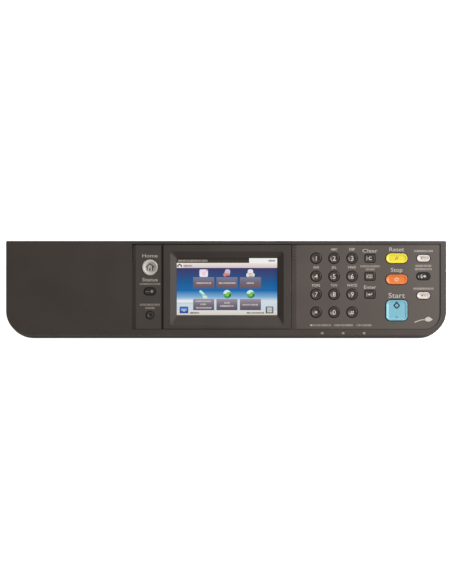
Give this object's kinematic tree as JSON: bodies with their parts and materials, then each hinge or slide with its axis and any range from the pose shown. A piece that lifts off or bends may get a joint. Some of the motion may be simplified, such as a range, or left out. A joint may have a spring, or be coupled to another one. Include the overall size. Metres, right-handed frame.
{
  "type": "photocopier operation panel",
  "caption": "Operation panel of a photocopier with a colour touch screen, home keys, a numeric keypad and start, stop and reset keys that press down.",
  "frame": {"origin": "centre of the flat underside, on the surface the panel rests on", "axes": "+X along the panel to the right as the operator sees it, +Y from the operator's edge to the machine, +Z out of the key face"},
  "size_m": [0.416, 0.0922, 0.0263],
  "materials": {
    "housing_plastic": "fine moulded grain, dark warm grey",
    "tray_plastic": "fine moulded grain, dark warm grey",
    "plate_plastic": "fine moulded grain, mid warm grey",
    "grey_key": "satin moulded cap, dark warm grey",
    "white_key": "satin moulded cap, off white",
    "silver_key": "satin silver paint",
    "black_key": "satin moulded cap, black",
    "yellow_key": "satin moulded cap, yellow",
    "orange_key": "satin moulded cap, orange",
    "blue_key": "satin moulded cap, light blue",
    "foam_rubber": "closed cell foam strip",
    "dome_rubber": "silicone rubber",
    "screen_glass": "polished",
    "display_cell": "lit display cell",
    "white_diffuser": "white moulded light box",
    "plated_steel": "zinc plated sheet",
    "board_green": "solder mask on glass epoxy board",
    "led_plastic": "clear resin",
    "clear_plastic": "clear acrylic",
    "black_plastic": "moulded package",
    "capacitor_can": "bare can",
    "socket_plastic": "natural nylon",
    "contact_metal": "plated contacts",
    "cable_plastic": "flat cable film",
    "screw_steel": "zinc plated"
  },
  "bodies": {
    "housing": {"board_screws": "screw_steel", "bracket_screws": "screw_steel", "buzzer": "black_plastic", "capacitors": "capacitor_can", "cover_screws": "screw_steel", "harness_socket": "socket_plastic", "home_cable": "cable_plastic", "home_dome_mat": "dome_rubber", "home_key_board": "board_green", "home_key_plate": "housing_plastic", "indicator_leds": "led_plastic", "key_board_screws": "screw_steel", "keypad_board": "board_green", "keypad_cable": "cable_plastic", "keypad_dome_mat": "dome_rubber", "keypad_plate": "plate_plastic", "lcd_backlight": "white_diffuser", "lcd_bezel": "housing_plastic", "lcd_bracket": "plated_steel", "lcd_frame": "plated_steel", "lcd_gasket": "foam_rubber", "lcd_panel": "display_cell", "lower_cover": "tray_plastic", "main_board": "board_green", "memory_chip": "black_plastic", "processor": "black_plastic", "ribbon_sockets": "socket_plastic", "screen_cable": "cable_plastic", "socket_contacts": "contact_metal", "status_light_guide": "clear_plastic", "touch_screen": "screen_glass", "upper_cover": "housing_plastic"},
    "key_0": {"key_0": "grey_key"},
    "key_1": {"key_1": "grey_key"},
    "key_2": {"key_2": "grey_key"},
    "key_3": {"key_3": "grey_key"},
    "key_4": {"key_4": "grey_key"},
    "key_5": {"key_5": "grey_key"},
    "key_6": {"key_6": "grey_key"},
    "key_7": {"key_7": "grey_key"},
    "key_8": {"key_8": "grey_key"},
    "key_9": {"key_9": "grey_key"},
    "key_clear": {"key_clear": "grey_key"},
    "key_energy_saver": {"key_energy_saver": "white_key"},
    "key_enter": {"key_enter": "grey_key"},
    "key_hash": {"key_hash": "grey_key"},
    "key_home": {"key_home": "silver_key"},
    "key_log_out": {"key_log_out": "black_key"},
    "key_menu": {"key_menu": "silver_key"},
    "key_quiet_mode": {"key_quiet_mode": "white_key"},
    "key_reset": {"key_reset": "yellow_key"},
    "key_search": {"key_search": "grey_key"},
    "key_star": {"key_star": "grey_key"},
    "key_start": {"key_start": "blue_key", "start_key_lens": "clear_plastic"},
    "key_status": {"key_status": "black_key"},
    "key_stop": {"key_stop": "orange_key"}
  },
  "joints": [
    {"name": "key_0_press", "type": "slide", "parent": "housing", "child": "key_0", "axis": [0, 0, -1], "range_m": [0, 0.0008], "stiffness_N_per_m": 800, "springref_m": -0.0005, "deforming": ["keypad_dome_mat"]},
    {"name": "key_1_press", "type": "slide", "parent": "housing", "child": "key_1", "axis": [0, 0, -1], "range_m": [0, 0.0008], "stiffness_N_per_m": 800, "springref_m": -0.0005, "deforming": ["keypad_dome_mat"]},
    {"name": "key_2_press", "type": "slide", "parent": "housing", "child": "key_2", "axis": [0, 0, -1], "range_m": [0, 0.0008], "stiffness_N_per_m": 800, "springref_m": -0.0005, "deforming": ["keypad_dome_mat"]},
    {"name": "key_3_press", "type": "slide", "parent": "housing", "child": "key_3", "axis": [0, 0, -1], "range_m": [0, 0.0008], "stiffness_N_per_m": 800, "springref_m": -0.0005, "deforming": ["keypad_dome_mat"]},
    {"name": "key_4_press", "type": "slide", "parent": "housing", "child": "key_4", "axis": [0, 0, -1], "range_m": [0, 0.0008], "stiffness_N_per_m": 800, "springref_m": -0.0005, "deforming": ["keypad_dome_mat"]},
    {"name": "key_5_press", "type": "slide", "parent": "housing", "child": "key_5", "axis": [0, 0, -1], "range_m": [0, 0.0008], "stiffness_N_per_m": 800, "springref_m": -0.0005, "deforming": ["keypad_dome_mat"]},
    {"name": "key_6_press", "type": "slide", "parent": "housing", "child": "key_6", "axis": [0, 0, -1], "range_m": [0, 0.0008], "stiffness_N_per_m": 800, "springref_m": -0.0005, "deforming": ["keypad_dome_mat"]},
    {"name": "key_7_press", "type": "slide", "parent": "housing", "child": "key_7", "axis": [0, 0, -1], "range_m": [0, 0.0008], "stiffness_N_per_m": 800, "springref_m": -0.0005, "deforming": ["keypad_dome_mat"]},
    {"name": "key_8_press", "type": "slide", "parent": "housing", "child": "key_8", "axis": [0, 0, -1], "range_m": [0, 0.0008], "stiffness_N_per_m": 800, "springref_m": -0.0005, "deforming": ["keypad_dome_mat"]},
    {"name": "key_9_press", "type": "slide", "parent": "housing", "child": "key_9", "axis": [0, 0, -1], "range_m": [0, 0.0008], "stiffness_N_per_m": 800, "springref_m": -0.0005, "deforming": ["keypad_dome_mat"]},
    {"name": "key_clear_press", "type": "slide", "parent": "housing", "child": "key_clear", "axis": [0, 0, -1], "range_m": [0, 0.0008], "stiffness_N_per_m": 800, "springref_m": -0.0005, "deforming": ["keypad_dome_mat"]},
    {"name": "key_energy_saver_press", "type": "slide", "parent": "housing", "child": "key_energy_saver", "axis": [0, 0, -1], "range_m": [0, 0.0008], "stiffness_N_per_m": 800, "springref_m": -0.0005, "deforming": ["keypad_dome_mat"]},
    {"name": "key_enter_press", "type": "slide", "parent": "housing", "child": "key_enter", "axis": [0, 0, -1], "range_m": [0, 0.0008], "stiffness_N_per_m": 800, "springref_m": -0.0005, "deforming": ["keypad_dome_mat"]},
    {"name": "key_hash_press", "type": "slide", "parent": "housing", "child": "key_hash", "axis": [0, 0, -1], "range_m": [0, 0.0008], "stiffness_N_per_m": 800, "springref_m": -0.0005, "deforming": ["keypad_dome_mat"]},
    {"name": "key_home_press", "type": "slide", "parent": "housing", "child": "key_home", "axis": [0, 0, -1], "range_m": [0, 0.0008], "stiffness_N_per_m": 800, "springref_m": -0.0005, "deforming": ["home_dome_mat"]},
    {"name": "key_log_out_press", "type": "slide", "parent": "housing", "child": "key_log_out", "axis": [0, 0, -1], "range_m": [0, 0.0008], "stiffness_N_per_m": 800, "springref_m": -0.0005, "deforming": ["keypad_dome_mat"]},
    {"name": "key_menu_press", "type": "slide", "parent": "housing", "child": "key_menu", "axis": [0, 0, -1], "range_m": [0, 0.0008], "stiffness_N_per_m": 800, "springref_m": -0.0005, "deforming": ["home_dome_mat"]},
    {"name": "key_quiet_mode_press", "type": "slide", "parent": "housing", "child": "key_quiet_mode", "axis": [0, 0, -1], "range_m": [0, 0.0008], "stiffness_N_per_m": 800, "springref_m": -0.0005, "deforming": ["keypad_dome_mat"]},
    {"name": "key_reset_press", "type": "slide", "parent": "housing", "child": "key_reset", "axis": [0, 0, -1], "range_m": [0, 0.0008], "stiffness_N_per_m": 800, "springref_m": -0.0005, "deforming": ["keypad_dome_mat"]},
    {"name": "key_search_press", "type": "slide", "parent": "housing", "child": "key_search", "axis": [0, 0, -1], "range_m": [0, 0.0008], "stiffness_N_per_m": 800, "springref_m": -0.0005, "deforming": ["keypad_dome_mat"]},
    {"name": "key_star_press", "type": "slide", "parent": "housing", "child": "key_star", "axis": [0, 0, -1], "range_m": [0, 0.0008], "stiffness_N_per_m": 800, "springref_m": -0.0005, "deforming": ["keypad_dome_mat"]},
    {"name": "key_start_press", "type": "slide", "parent": "housing", "child": "key_start", "axis": [0, 0, -1], "range_m": [0, 0.0008], "stiffness_N_per_m": 800, "springref_m": -0.0005, "deforming": ["keypad_dome_mat"]},
    {"name": "key_status_press", "type": "slide", "parent": "housing", "child": "key_status", "axis": [0, 0, -1], "range_m": [0, 0.0008], "stiffness_N_per_m": 800, "springref_m": -0.0005, "deforming": ["home_dome_mat"]},
    {"name": "key_stop_press", "type": "slide", "parent": "housing", "child": "key_stop", "axis": [0, 0, -1], "range_m": [0, 0.0008], "stiffness_N_per_m": 800, "springref_m": -0.0005, "deforming": ["keypad_dome_mat"]}
  ]
}
